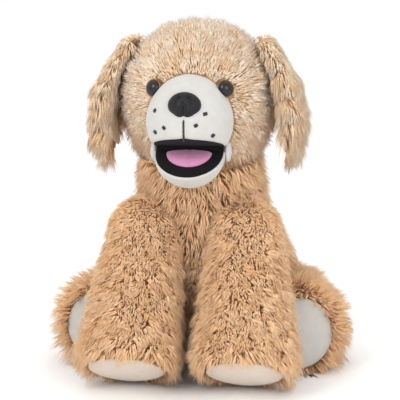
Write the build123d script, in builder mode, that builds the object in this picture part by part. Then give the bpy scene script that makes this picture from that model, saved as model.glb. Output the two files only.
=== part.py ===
# A stuffed plush dog that sits upright and faces -Y, with its own left side on +X.
# Millimetres and degrees. The origin is on the floor, midway between the paw tips and the tail tip.

from build123d import *
import math
import os

os.makedirs("parts", exist_ok=True)

# Fabric and board thicknesses
fur_wall = 7.0            # pile fabric, taken at half the depth of its pile
velour_wall = 2.0
lining_wall = 1.0
board_wall = 2.0

# Clearances
limb_gap = 0.8            # between a limb and its socket
hip_gap = 2.4             # between a hind leg and its socket, which the leg swings out of
seat_gap = 0.6            # each side of the neck band
jaw_gap = 0.8             # between the two lips' planes and the hinge line
pin_gap = 0.05            # radial, in the knuckles that turn on the pin
press_flat = 0.6          # how far a stuffed tube is pressed flat on the floor

# Places along Y are counted from the neck's line, which stands here
datum_y = -28.04

# Head and neck
head_radius = 76.0
head_forward = 10.0       # head's centre, ahead of the neck's line
neck_seat = 216.0         # height of the head's underside
band_wall = 2.0
band_inner_angle = 15.0   # the neck band's edges, from straight down
band_outer_angle = 30.0

# Muzzle and mouth
muzzle_radius = 44.0
muzzle_sink = 11.0        # the muzzle's centre lies this deep inside the head's front
muzzle_drop = 19.0        # and this far below the head's centre
hinge_back = 3.0          # jaw hinge, behind the muzzle's centre
hinge_drop = 26.0         # and below it
roof_rise = 16.6          # the upper lip's plane rises towards the front
floor_fall = 38.0         # the lower lip's plane falls towards the front
jaw_radius = 36.0
jaw_forward = 6.0         # jaw's centre, ahead of the hinge
jaw_drop = 5.0            # and below it
jaw_heel = 1.2            # the jaw's back face, ahead of the hinge
pin_radius = 1.6
knuckle_radius = 4.0
knuckle_pitch = 12.0
knuckle_slit = 0.4
tongue_start = 12.0       # from the hinge, along the floor of the mouth
tongue_length = 20.0
tongue_half_width = 20.0
tongue_wall = 4.0

# Nose, eyes and small trim
nose_half_width = 16.0
nose_half_height = 13.0
nose_stand_out = 7.0
nose_pitch = 24.5         # the nose looks this far above level, seen from the muzzle's centre
nose_shank_radius = 3.0
eye_radius = 7.2
eye_rim_radius = 8.8
eye_side = 36.0
eye_rise = 17.0
eye_shank_radius = 2.5
washer_wall = 2.0
stitch_radius = 0.9
dot_radius = 1.8
# Whisker knots, as (across, above the muzzle's centre)
whisker_spots = [(20.5, 11.0), (12.0, 0.0), (27.5, -10.5), (-30.5, 13.0), (-20.0, -3.0), (-30.0, -8.0)]

# Ears
ear_roll_radius = 6.5
ear_root_angle = 46.0     # from straight up, round the head
ear_hang = 18.0           # the flap leans this far out from hanging straight down
ear_length = 122.0
ear_root_half = 26.0
ear_half_width = 38.0
ear_tip_half = 13.0
ear_lining_wall = 2.5
ear_fur_wall = 7.5
ear_stand_off = 2.0

# Torso
rump_radius = 94.0
rump_height = 84.0
rump_back = 62.0
chest_radius = 74.0
chest_back = 34.0
chest_height = 100.0
neck_radius = 58.0
neck_forward = 4.0
neck_top = 256.0         # before the head's seat is cut out of it

# Front legs
shoulder_radius = 41.0
paw_radius = 50.0
shoulder_side = 60.0
shoulder_forward = 35.0
shoulder_height = 150.0
leg_slope = 59.0          # below level
notch_ease = 3.0          # room beside the root for the taper, as the leg swings up
paw_pad_radius = 37.0

# Hind legs
hind_radius = 45.0
hip_side = 80.0
hip_back = 77.0
hind_length = 104.0
hind_turn = 15.0          # the foot points this far outwards
sole_pad_radius = 37.0

# Tail
tail_root_radius = 18.0
tail_tip_radius = 14.0
tail_length = 46.0
tail_stand_off = 14.0     # the root's centre, outside the rump
tail_height = 70.0
tail_rise = 50.0

# Shared by all limbs
sole_round = 13.0
pad_stand_out = 1.5
half_root = math.sqrt(0.5)


def level(forward, height, side=0.0):
    # A point from its distance ahead of the neck's line, its height and its side
    return Vector(side, datum_y - forward, height)


def limb_plane(origin, along, about):
    # Local X runs down the limb and local Z is the axis that the limb swings about
    return Plane(origin=origin, x_dir=along, z_dir=about)


def limb_solid(place, root_r, tip_r, length, edge=sole_round, grow=0.0):
    # A ball at the root runs into a straight taper, which ends in a flat sole with a rounded edge
    r0 = root_r + grow
    r1 = tip_r + grow
    end = length + grow
    edge += grow
    cut = edge * (1 - half_root)
    with BuildPart() as limb:
        with BuildSketch(place):
            with BuildLine():
                ball = ThreePointArc((-r0, 0), (-r0 * half_root, r0 * half_root), (0, r0))
                side = Line(ball @ 1, (end - edge, r1))
                rim = ThreePointArc(side @ 1, (end - cut, r1 - cut), (end, r1 - edge))
                Polyline(rim @ 1, (end, 0), ball @ 0)
            make_face()
        revolve(axis=Axis(place.origin, place.x_dir))
    return limb.part


def finish(part, label):
    part.label = label
    export_step(part, f"parts/{label}.step")
    print(f"{label:24s} {part.volume / 1000:9.2f} cm3")


# Reference places ---------------------------------------------------------

head_centre = level(head_forward, neck_seat + head_radius)
muzzle_centre = level(head_forward + head_radius - muzzle_sink, head_centre.Z - muzzle_drop)
hinge = muzzle_centre + Vector(0, hinge_back, -hinge_drop)
jaw_centre = hinge + Vector(0, -jaw_forward, -jaw_drop)


def tilted(angle):
    # A unit vector that points up and leans back by the angle, as the normal of a rising plane
    return Vector(0, math.sin(math.radians(angle)), math.cos(math.radians(angle)))


roof_plane = Plane(origin=hinge, x_dir=(1, 0, 0), z_dir=tilted(roof_rise)).offset(jaw_gap)
floor_plane = Plane(origin=hinge, x_dir=(1, 0, 0), z_dir=tilted(-floor_fall)).offset(-jaw_gap)

leg_down = math.radians(leg_slope)
front_leg_length = sole_round + (
    shoulder_height + press_flat - sole_round - (paw_radius - sole_round) * math.cos(leg_down)
) / math.sin(leg_down)


def front_leg_place(side):
    # Swings forwards and up about the X axis
    along = Vector(0, -math.cos(leg_down), -math.sin(leg_down))
    root = level(shoulder_forward, shoulder_height, side * shoulder_side)
    return limb_plane(root, along, (-1, 0, 0))


def hind_leg_place(side):
    # Splays outwards about a vertical axis
    turn = math.radians(hind_turn)
    along = Vector(side * math.sin(turn), -math.cos(turn), 0)
    root = level(-hip_back, hind_radius - press_flat, side * hip_side)
    return limb_plane(root, along, (0, 0, side))


def tail_place():
    # Wags about an axis square to the tail
    rise = math.radians(tail_rise)
    along = Vector(0, math.cos(rise), math.sin(rise))
    about = Vector(0, -math.sin(rise), math.cos(rise))
    return limb_plane(level(-rump_back - rump_radius - tail_stand_off, tail_height), along, about)


tail_edge = 8.0
front_leg = (shoulder_radius, paw_radius, front_leg_length)
hind_leg = (hind_radius, hind_radius, hind_length)
tail = (tail_root_radius, tail_tip_radius, tail_length)

# Torso --------------------------------------------------------------------


def leg_notch(side, grow):
    # Open room in front of the shoulder, where the leg swings up
    half = shoulder_radius + notch_ease + grow
    top = shoulder_height + shoulder_radius + 1.0 + grow
    low = shoulder_height - shoulder_radius - grow
    depth = shoulder_forward + chest_radius
    with BuildPart() as notch:
        with Locations(level(shoulder_forward - grow, low, side * shoulder_side)):
            Box(2 * half, depth, top - low, align=(Align.CENTER, Align.MAX, Align.MIN))
    return notch.part


def torso_solid(shrink):
    # A ball for the rump and the neck's taper leaning forwards, less the sockets of head and limbs
    rump = level(-rump_back, rump_height)
    chest = level(-chest_back, chest_height)
    collar = level(neck_forward, neck_top)
    neck = limb_plane(chest, collar - chest, (1, 0, 0))
    grow = limb_gap + shrink
    with BuildPart() as body:
        with Locations(rump):
            Sphere(rump_radius - shrink)
        add(limb_solid(neck, chest_radius, neck_radius, (collar - chest).length, grow=-shrink))
        with Locations(head_centre):
            seat_radius = head_radius + 2 * seat_gap + band_wall + shrink
            Sphere(seat_radius, rotation=(90, 0, 0), mode=Mode.SUBTRACT)
        with Locations(tail_place().origin):
            Sphere(tail_root_radius + grow, mode=Mode.SUBTRACT)
        for side in (1, -1):
            add(limb_solid(front_leg_place(side), *front_leg, grow=grow), mode=Mode.SUBTRACT)
            add(leg_notch(side, grow), mode=Mode.SUBTRACT)
            add(limb_solid(hind_leg_place(side), *hind_leg, grow=hip_gap + shrink), mode=Mode.SUBTRACT)
        split(bisect_by=Plane.XY.offset(shrink), keep=Keep.TOP)
    return body.part


torso_core = torso_solid(fur_wall)

pouch_width = 36.0
pouch_depth = 76.0
pouch_height = 26.0
pouch_centre = level(-60.0, fur_wall + 4.0 + pouch_height / 2)

with BuildPart() as pellet_pouch:
    with Locations(pouch_centre):
        Box(pouch_width, pouch_depth, pouch_height)
    fillet(pellet_pouch.edges(), 10.0)

with BuildPart() as torso_stuffing:
    add(torso_core)
    add(pellet_pouch.part, mode=Mode.SUBTRACT)

# The label is sewn into a seam low on the back, beside the tail
label_width = 24.0
label_height = 16.0
label_wall = 0.8
label_turn = math.radians(36.0)
label_out = Vector(math.sin(label_turn), math.cos(label_turn), 0)
label_rise = 44.0
label_tuck = 4.0          # sewn in this deep
label_reach = math.sqrt(rump_radius ** 2 - (rump_height - label_rise) ** 2) - label_tuck
label_root = level(-rump_back, label_rise) + label_out * label_reach

with BuildPart() as care_label:
    with BuildSketch(Plane(origin=label_root, x_dir=label_out, z_dir=label_out.cross(Vector(0, 0, 1)))):
        RectangleRounded(label_width, label_height, 2.0, align=(Align.MIN, Align.CENTER))
    extrude(amount=label_wall / 2, both=True)
    add(torso_core, mode=Mode.SUBTRACT)

with BuildPart() as torso_cover:
    add(torso_solid(0.0))
    add(torso_core, mode=Mode.SUBTRACT)
    add(care_label.part, mode=Mode.SUBTRACT)

# Ladder stitches that close the back after filling, across the seam down the middle of the back
stitch_count = 9
stitch_length = 7.0
seam_start = 24.0         # degrees above level, seen from the rump's centre
seam_step = 4.5
with BuildPart() as back_stitches:
    for index in range(stitch_count):
        rise = math.radians(seam_start + seam_step * index)
        spot = level(-rump_back, rump_height) + Vector(0, math.cos(rise), math.sin(rise)) * rump_radius
        with BuildSketch(Plane(origin=spot - Vector(stitch_length / 2, 0, 0), z_dir=(1, 0, 0))):
            Circle(stitch_radius)
        extrude(amount=stitch_length)
    add(torso_cover.part, mode=Mode.SUBTRACT)

finish(torso_cover.part, "torso_cover")
finish(torso_stuffing.part, "torso_stuffing")
finish(pellet_pouch.part, "pellet_pouch")
finish(care_label.part, "care_label")
finish(back_stitches.part, "back_stitches")

# Limbs --------------------------------------------------------------------


def make_limb(name, place, sizes, pad_name, pad_radius):
    # The pile cover is a closed tube whose end is cut out for the velour pad
    length = sizes[2]
    sole = Plane(origin=place.origin + place.x_dir * (length - fur_wall), z_dir=place.x_dir)
    with BuildPart() as stuffing:
        add(limb_solid(place, *sizes, grow=-fur_wall))
    with BuildPart() as pad:
        with BuildSketch(sole):
            Circle(pad_radius)
        extrude(amount=fur_wall + pad_stand_out)
        fillet(pad.faces().sort_by(Axis(sole.origin, sole.z_dir))[-1].edges(), pad_stand_out * 0.8)
    with BuildPart() as cover:
        add(limb_solid(place, *sizes))
        add(stuffing.part, mode=Mode.SUBTRACT)
        add(pad.part, mode=Mode.SUBTRACT)
        split(bisect_by=Plane.XY, keep=Keep.TOP)
    finish(cover.part, f"{name}_cover")
    finish(stuffing.part, f"{name}_stuffing")
    finish(pad.part, f"{name}_{pad_name}")


for side, word in ((1, "left"), (-1, "right")):
    make_limb(f"front_leg_{word}", front_leg_place(side), front_leg, "paw_pad", paw_pad_radius)
    make_limb(f"hind_leg_{word}", hind_leg_place(side), hind_leg, "sole_pad", sole_pad_radius)

with BuildPart() as tail_stuffing:
    add(limb_solid(tail_place(), *tail, tail_edge, -fur_wall))
with BuildPart() as tail_cover:
    add(limb_solid(tail_place(), *tail, tail_edge))
    add(tail_stuffing.part, mode=Mode.SUBTRACT)
finish(tail_cover.part, "tail_cover")
finish(tail_stuffing.part, "tail_stuffing")

# Neck band, a ring of webbing that follows the ball of the head -----------

with BuildPart() as neck_band:
    with Locations(head_centre):
        Sphere(head_radius + seat_gap + band_wall)
        Sphere(head_radius + seat_gap, mode=Mode.SUBTRACT)
    low, high = (
        head_centre.Z - (head_radius + seat_gap + band_wall) * math.cos(math.radians(angle))
        for angle in (band_inner_angle, band_outer_angle)
    )
    split(bisect_by=Plane.XY.offset(low), keep=Keep.TOP)
    split(bisect_by=Plane.XY.offset(high), keep=Keep.BOTTOM)
finish(neck_band.part, "neck_band")

# Mouth hinge, muzzle and jaw ----------------------------------------------

knuckle_spots = [index * knuckle_pitch for index in (-2, -1, 0, 1, 2)]
relief_radius = knuckle_radius + jaw_gap
pin_length = 5 * knuckle_pitch


def hinge_bar(radius, length, centre_x=0.0):
    # A round bar on the hinge line
    start = hinge + Vector(centre_x - length / 2, 0, 0)
    with BuildPart() as bar:
        with BuildSketch(Plane(origin=start, z_dir=(1, 0, 0))):
            Circle(radius)
        extrude(amount=length)
    return bar.part


def ball(centre, radius):
    with BuildPart() as solid:
        with Locations(centre):
            Sphere(radius)
    return solid.part


def muzzle_ball(radius, lift):
    # The muzzle's ball above a plane that lies lift above the upper lip
    with BuildPart() as solid:
        add(ball(muzzle_centre, radius))
        split(bisect_by=roof_plane.offset(lift), keep=Keep.TOP)
    return solid.part


def jaw_ball(radius, drop, heel):
    # The jaw's ball below a plane that lies drop below the lower lip, ahead of its back face
    back = Plane(origin=hinge - Vector(0, jaw_heel + heel, 0), z_dir=(0, 1, 0))
    with BuildPart() as solid:
        add(ball(jaw_centre, radius))
        split(bisect_by=floor_plane.offset(-drop), keep=Keep.BOTTOM)
        split(bisect_by=back, keep=Keep.BOTTOM)
    return solid.part


relief = hinge_bar(relief_radius, pin_length + 2 * jaw_gap)
head_ball = ball(head_centre, head_radius)
head_core = ball(head_centre, head_radius - fur_wall)
muzzle_core_radius = muzzle_radius - velour_wall
jaw_core_radius = jaw_radius - velour_wall
stuffing_lift = lining_wall + board_wall

# Nose with its shank and washer
nose_line = tilted(nose_pitch - 90)
nose_place = Plane(origin=muzzle_centre + nose_line * muzzle_radius, x_dir=(1, 0, 0), z_dir=nose_line)
nose_depth = 8.0
nose_shank_length = 15.0
nose_washer_radius = 9.0
nose_washer_depth = 3.2
nostril_side = 6.5
nostril_drop = 1.0
nostril_depth = 3.0

with BuildPart() as nose:
    with BuildSketch(nose_place.offset(-nose_depth)):
        Ellipse(nose_half_width, nose_half_height)
    extrude(amount=nose_depth + nose_stand_out)
    fillet(nose.faces().sort_by(Axis(nose_place.origin, nose_line))[-1].edges(), nose_stand_out * 0.75)
    with BuildSketch(nose_place.offset(nose_stand_out - nostril_depth)):
        with Locations((nostril_side, -nostril_drop), (-nostril_side, -nostril_drop)):
            Ellipse(1.8, 3.4)
    extrude(amount=nostril_depth, mode=Mode.SUBTRACT)
    add(ball(muzzle_centre, muzzle_radius), mode=Mode.SUBTRACT)
    with BuildSketch(nose_place.offset(-nose_shank_length)):
        Circle(nose_shank_radius)
    extrude(amount=nose_shank_length)

with BuildPart() as nose_washer:
    with BuildSketch(nose_place.offset(-velour_wall - nose_washer_depth)):
        Circle(nose_washer_radius)
        Circle(nose_shank_radius, mode=Mode.SUBTRACT)
    extrude(amount=washer_wall)

with BuildPart() as muzzle_cover:
    add(muzzle_ball(muzzle_radius, 0.0))
    add(muzzle_ball(muzzle_core_radius, -jaw_gap), mode=Mode.SUBTRACT)
    add(head_ball, mode=Mode.SUBTRACT)
    add(relief, mode=Mode.SUBTRACT)
    add(nose.part, mode=Mode.SUBTRACT)

with BuildPart() as mouth_roof_lining:
    add(muzzle_ball(muzzle_core_radius, 0.0))
    add(muzzle_ball(muzzle_core_radius, lining_wall), mode=Mode.SUBTRACT)
    add(head_ball, mode=Mode.SUBTRACT)
    add(relief, mode=Mode.SUBTRACT)

with BuildPart() as mouth_roof_board:
    add(muzzle_ball(muzzle_core_radius, lining_wall))
    add(muzzle_ball(muzzle_core_radius, stuffing_lift), mode=Mode.SUBTRACT)
    add(head_ball, mode=Mode.SUBTRACT)
    for spot in knuckle_spots[0::2]:
        add(hinge_bar(knuckle_radius, knuckle_pitch - knuckle_slit, spot))
    for spot in knuckle_spots[1::2]:
        add(hinge_bar(relief_radius, knuckle_pitch, spot), mode=Mode.SUBTRACT)
    add(hinge_bar(pin_radius, pin_length), mode=Mode.SUBTRACT)

with BuildPart() as muzzle_stuffing:
    add(muzzle_ball(muzzle_core_radius, stuffing_lift))
    add(head_core, mode=Mode.SUBTRACT)
    add(relief, mode=Mode.SUBTRACT)
    add(nose.part, mode=Mode.SUBTRACT)
    add(nose_washer.part, mode=Mode.SUBTRACT)

with BuildPart() as jaw_pin:
    add(hinge_bar(pin_radius, pin_length))

with BuildPart() as mouth_floor_lining:
    add(jaw_ball(jaw_core_radius, 0.0, velour_wall))
    add(jaw_ball(jaw_core_radius, lining_wall, velour_wall), mode=Mode.SUBTRACT)
    add(relief, mode=Mode.SUBTRACT)

with BuildPart() as mouth_floor_board:
    add(jaw_ball(jaw_core_radius, lining_wall, velour_wall))
    add(jaw_ball(jaw_core_radius, stuffing_lift, velour_wall), mode=Mode.SUBTRACT)
    add(relief, mode=Mode.SUBTRACT)
    for spot in knuckle_spots[1::2]:
        with BuildSketch(floor_plane.offset(-stuffing_lift)):
            with Locations((spot, -relief_radius)):
                Rectangle(knuckle_pitch - knuckle_slit, 2 * relief_radius)
        extrude(amount=board_wall)
        add(hinge_bar(knuckle_radius, knuckle_pitch - knuckle_slit, spot))
    add(hinge_bar(pin_radius + pin_gap, pin_length), mode=Mode.SUBTRACT)

with BuildPart() as jaw_cover:
    add(jaw_ball(jaw_radius, 0.0, 0.0))
    add(jaw_ball(jaw_core_radius, -jaw_gap, velour_wall), mode=Mode.SUBTRACT)
    add(relief, mode=Mode.SUBTRACT)
    add(mouth_floor_board.part, mode=Mode.SUBTRACT)

with BuildPart() as jaw_stuffing:
    add(jaw_ball(jaw_core_radius, stuffing_lift, velour_wall))
    add(relief, mode=Mode.SUBTRACT)

with BuildPart() as tongue:
    with BuildSketch(floor_plane):
        with BuildLine():
            heel = Line((tongue_half_width, -tongue_start), (-tongue_half_width, -tongue_start))
            ThreePointArc(heel @ 1, (0, -tongue_start - tongue_length), heel @ 0)
        make_face()
    extrude(amount=tongue_wall)
    fillet(tongue.faces().sort_by(Axis(hinge, floor_plane.z_dir))[-1].edges(), tongue_wall * 0.4)

finish(nose.part, "nose")
finish(nose_washer.part, "nose_washer")
finish(muzzle_cover.part, "muzzle_cover")
finish(mouth_roof_lining.part, "mouth_roof_lining")
finish(mouth_roof_board.part, "mouth_roof_board")
finish(muzzle_stuffing.part, "muzzle_stuffing")
finish(jaw_pin.part, "jaw_pin")
finish(jaw_cover.part, "jaw_cover")
finish(mouth_floor_lining.part, "mouth_floor_lining")
finish(mouth_floor_board.part, "mouth_floor_board")
finish(jaw_stuffing.part, "jaw_stuffing")
finish(tongue.part, "tongue")

# Stitches and knots on the muzzle
seam_top = 14.0           # degrees below level where the nose ends
seam_bottom = 24.0        # degrees further down to the lip
seam_point = muzzle_centre + tilted(seam_top - 90) * muzzle_radius

with BuildPart() as lip_stitch:
    with BuildSketch(Plane(origin=seam_point, z_dir=tilted(seam_top))):
        Circle(stitch_radius)
    revolve(axis=Axis(muzzle_centre, (1, 0, 0)), revolution_arc=seam_bottom)
    add(ball(muzzle_centre, muzzle_radius), mode=Mode.SUBTRACT)
    add(nose.part, mode=Mode.SUBTRACT)

with BuildPart() as whisker_knots:
    for across, above in whisker_spots:
        ahead = math.sqrt(muzzle_radius ** 2 - across ** 2 - above ** 2)
        with Locations(muzzle_centre + Vector(across, -ahead, above)):
            Sphere(dot_radius)
    add(ball(muzzle_centre, muzzle_radius), mode=Mode.SUBTRACT)

finish(lip_stitch.part, "lip_stitch")
finish(whisker_knots.part, "whisker_knots")

# Head and eyes ------------------------------------------------------------

eye_seat = head_radius - 0.6
eye_shank_length = 16.0
eye_washer_radius = 9.0
eye_dome_lift = 1.0


def eye_place(side):
    ahead = math.sqrt(head_radius ** 2 - eye_side ** 2 - eye_rise ** 2)
    line = Vector(side * eye_side, -ahead, eye_rise).normalized()
    return Plane(origin=head_centre + line * eye_seat, z_dir=line)


def eye_disc(place, low, high, radius, bore=0.0):
    with BuildPart() as disc:
        with BuildSketch(place.offset(low)):
            Circle(radius)
            if bore:
                Circle(bore, mode=Mode.SUBTRACT)
        extrude(amount=high - low)
    return disc.part


eyes = {}
for side, word in ((1, "left"), (-1, "right")):
    place = eye_place(side)
    with BuildPart() as eye:
        add(ball(place.origin + place.z_dir * eye_dome_lift, eye_radius))
        split(bisect_by=place, keep=Keep.TOP)
        add(eye_disc(place, -eye_shank_length, eye_dome_lift, eye_shank_radius))
    with BuildPart() as rim:
        add(eye_disc(place, 0.0, 2.5, eye_rim_radius))
        fillet(rim.faces().sort_by(Axis(place.origin, place.z_dir))[-1].edges(), 1.0)
        add(eye.part, mode=Mode.SUBTRACT)
        add(ball(muzzle_centre, muzzle_radius), mode=Mode.SUBTRACT)
    washer = eye_disc(place, -fur_wall - 4.0, -fur_wall - 4.0 + washer_wall, eye_washer_radius, eye_shank_radius)
    eyes[word] = (eye.part, rim.part, washer)
    finish(eye.part, f"eye_{word}")
    finish(rim.part, f"eye_rim_{word}")
    finish(washer, f"eye_washer_{word}")

with BuildPart() as head_cover:
    add(head_ball)
    add(head_core, mode=Mode.SUBTRACT)
    add(muzzle_ball(muzzle_core_radius, 0.0), mode=Mode.SUBTRACT)
    add(relief, mode=Mode.SUBTRACT)
    for side, word in ((1, "left"), (-1, "right")):
        add(eye_disc(eye_place(side), 0.0, 4.0, eye_rim_radius), mode=Mode.SUBTRACT)
        add(eyes[word][0], mode=Mode.SUBTRACT)

with BuildPart() as head_stuffing:
    add(head_core)
    add(relief, mode=Mode.SUBTRACT)
    for word in ("left", "right"):
        add(eyes[word][0], mode=Mode.SUBTRACT)
        add(eyes[word][2], mode=Mode.SUBTRACT)

finish(head_cover.part, "head_cover")
finish(head_stuffing.part, "head_stuffing")

# Ears ---------------------------------------------------------------------


def ear_hinge(side):
    reach = head_radius + ear_roll_radius + 1.0
    turn = math.radians(ear_root_angle)
    return head_centre + Vector(side * reach * math.sin(turn), 0, reach * math.cos(turn))


def ear_plane(side):
    # Local X runs towards the nose, local Y runs down the flap and local Z points out of the head
    hang = math.radians(ear_hang)
    out = Vector(side * math.cos(hang), 0, math.sin(hang))
    down = Vector(side * math.sin(hang), 0, -math.cos(hang))
    return Plane(origin=ear_hinge(side), x_dir=down.cross(out), z_dir=out)


def ear_leaf(side, low, wall, start, inset):
    half = ear_half_width - inset
    end = ear_length - inset
    with BuildPart() as leaf:
        with BuildSketch(ear_plane(side).offset(low)):
            with BuildLine():
                top = Line((ear_root_half - inset, start), (inset - ear_root_half, start))
                back = ThreePointArc(top @ 1, (-half, end * 0.55), (inset - ear_tip_half, end * 0.96))
                tip = ThreePointArc(back @ 1, (0, end), (ear_tip_half - inset, end * 0.96))
                ThreePointArc(tip @ 1, (half, end * 0.55), top @ 0)
            make_face()
        extrude(amount=wall)
    return leaf.part


for side, word in ((1, "left"), (-1, "right")):
    root = ear_hinge(side)
    with BuildPart() as lining:
        add(ear_leaf(side, ear_stand_off, ear_lining_wall, ear_roll_radius + 2.0, 6.0))
    with BuildPart() as flap:
        add(ear_leaf(side, ear_stand_off + ear_lining_wall, ear_fur_wall, 0.0, 0.0))
        with BuildSketch(Plane(origin=root - Vector(0, ear_root_half, 0), z_dir=(0, 1, 0))):
            Circle(ear_roll_radius)
        extrude(amount=2 * ear_root_half)
        add(lining.part, mode=Mode.SUBTRACT)
    finish(flap.part, f"ear_{word}_cover")
    finish(lining.part, f"ear_{word}_lining")
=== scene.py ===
import itertools
import math
import bpy
import numpy as np
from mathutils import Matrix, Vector


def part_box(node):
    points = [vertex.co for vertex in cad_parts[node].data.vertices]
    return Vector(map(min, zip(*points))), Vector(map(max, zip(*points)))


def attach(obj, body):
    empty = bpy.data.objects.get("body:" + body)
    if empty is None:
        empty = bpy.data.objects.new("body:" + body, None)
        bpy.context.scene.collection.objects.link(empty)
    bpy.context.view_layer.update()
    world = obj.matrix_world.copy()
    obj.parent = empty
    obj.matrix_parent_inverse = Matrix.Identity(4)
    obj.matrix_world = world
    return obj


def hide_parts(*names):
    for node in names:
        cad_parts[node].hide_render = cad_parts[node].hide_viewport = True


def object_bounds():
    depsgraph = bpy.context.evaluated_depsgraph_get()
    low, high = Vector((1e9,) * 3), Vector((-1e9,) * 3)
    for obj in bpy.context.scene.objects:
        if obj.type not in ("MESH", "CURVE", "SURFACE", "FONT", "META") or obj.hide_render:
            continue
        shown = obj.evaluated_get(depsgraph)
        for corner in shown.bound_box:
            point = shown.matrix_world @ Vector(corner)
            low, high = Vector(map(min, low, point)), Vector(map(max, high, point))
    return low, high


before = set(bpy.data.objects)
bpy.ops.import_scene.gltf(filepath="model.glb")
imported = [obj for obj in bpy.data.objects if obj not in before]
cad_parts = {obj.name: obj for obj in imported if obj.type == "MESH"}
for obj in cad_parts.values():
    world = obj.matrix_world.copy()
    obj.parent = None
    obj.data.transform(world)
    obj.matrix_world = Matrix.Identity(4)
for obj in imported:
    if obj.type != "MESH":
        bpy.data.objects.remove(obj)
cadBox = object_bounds()
mm = 0.001          # shapes are worked out in millimetres and stored in metres
floorGap = 0.4      # nothing soft reaches lower than this above the floor
low, high = (np.array(corner) / mm for corner in cadBox)
furRoom = (high - low) * 0.03 + 9.0                  # how far pile may stand outside the cover's box
furLow, furHigh = np.maximum(low - furRoom, (-1e3, -1e3, floorGap)), high + furRoom


class Wire:  # an output socket; + - and * on it add Math nodes
    def __init__(self, recipe, node, output):
        self.recipe, self.node, self.socket = recipe, node, node.outputs[output]

    def other(self, output):
        return Wire(self.recipe, self.node, output)

    def sum(self, operation, first, second=0.0):
        return self.recipe.add("Math", {"operation": operation}, {0: first, 1: second})

    def __add__(self, value): return self.sum("ADD", self, value)
    def __radd__(self, value): return self.sum("ADD", value, self)
    def __sub__(self, value): return self.sum("SUBTRACT", self, value)
    def __rsub__(self, value): return self.sum("SUBTRACT", value, self)
    def __mul__(self, value): return self.sum("MULTIPLY", self, value)
    def __rmul__(self, value): return self.sum("MULTIPLY", value, self)


class Recipe:  # one material and the nodes in it
    def __init__(self, name):
        self.material = bpy.data.materials.new(name)
        self.material.use_nodes = True
        self.tree = self.material.node_tree
        self.tree.nodes.clear()

    # a node of this kind: its settings first, then the values or wires of its sockets
    def add(self, kind, settings=None, sockets=None, output=0):
        node = self.tree.nodes.new("ShaderNode" + kind)
        for key, value in (settings or {}).items():
            if key == "stops":
                while len(node.color_ramp.elements) < len(value):
                    node.color_ramp.elements.new(0.5)
                for element, (place, colour) in zip(node.color_ramp.elements, value):
                    element.position, element.color = place, (*colour, 1.0)
            else:
                setattr(node, key, value)
        for key, value in (sockets or {}).items():
            if isinstance(value, Wire):
                self.tree.links.new(value.socket, node.inputs[key])
            elif isinstance(value, tuple) and len(value) == 3 and node.inputs[key].type == "RGBA":
                node.inputs[key].default_value = (*value, 1.0)
            else:
                node.inputs[key].default_value = value
        return Wire(self, node, output) if node.outputs else node

    def place(self):
        return self.add("TexCoord", output="Object")

    def noise(self, scale, detail=3.0, vector=None, rough=0.5):
        return self.add("TexNoise", {}, {"Vector": vector or self.place(), "Scale": scale, "Detail": detail,
                                         "Roughness": rough})

    def ramp(self, factor, stops):
        return self.add("ValToRGB", {"stops": stops}, {"Fac": factor})

    def blend(self, factor, first, second, mode="MIX"):
        return self.add("Mix", {"data_type": "RGBA", "blend_type": mode}, {0: factor, 6: first, 7: second}, 2)

    def bump(self, height, distance, strength=1.0, normal=None):
        sockets = {"Height": height, "Distance": distance, "Strength": strength}
        if normal:
            sockets["Normal"] = normal
        return self.add("Bump", {}, sockets)

    # Principled surface; constants go on its own sockets
    def finish(self, sockets):
        shader = self.add("BsdfPrincipled", {}, sockets)
        self.add("OutputMaterial", {}, {"Surface": shader})
        return self.material


def rgb(red, green, blue):  # 0-255 screen values to the shader's linear ones
    return tuple(((c / 255 + 0.055) / 1.055) ** 2.4 if c > 10 else c / 3294.6 for c in (red, green, blue))


# root, middle and tip: the fibre's colour, with painted crevice shade deepening it towards the root
pileFinish = {
    "root": rgb(252, 206, 156), "middle": rgb(252, 212, 168), "tip": rgb(248, 220, 184),
    "dark": rgb(242, 226, 208), "light": rgb(255, 254, 252), "sheen": 0.25,
}


# colour runs from root to tip along a strand's V, the deeper, more orange root being painted crevice shade
# and bounce light over the fibre's own colour, and each strand's own U picks how light it is
def pile(name, finish):
    r = Recipe(name)
    uv = r.add("UVMap", {"uv_map": "OFBake"})
    tone = r.add("SeparateXYZ", {}, {0: uv})
    along = tone.other("Y")
    colour = r.ramp(along, [(0.0, finish["root"]), (0.45, finish["middle"]), (1.0, finish["tip"])])
    tint = r.ramp(tone, [(0.0, finish["dark"]), (1.0, finish["light"])])
    return r.finish({"Base Color": r.blend(1.0, colour, tint, "MULTIPLY"), "Roughness": 0.95 - along * 0.2,
                     "Sheen Weight": finish["sheen"], "Sheen Roughness": 0.4, "Specular IOR Level": 0.15})


# knitted backing under the pile: dark and light mottling with a fine rib
def backing(name, dark, light):
    r = Recipe(name)
    mottle = r.noise(90.0, 4.0)
    rib = r.add("TexWave", {"wave_type": "BANDS", "bands_direction": "Z"},
                {"Vector": r.place(), "Scale": 260.0, "Distortion": 4.0, "Detail": 2.0})
    return r.finish({"Base Color": r.blend(mottle, dark, light), "Roughness": 0.9 + rib * 0.08,
                     "Normal": r.bump(rib + mottle, 0.0012)})


velourFinish = {"pale": rgb(198, 196, 192), "shade": rgb(178, 176, 171), "nap": 1500.0, "brushed": 130.0}


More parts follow.
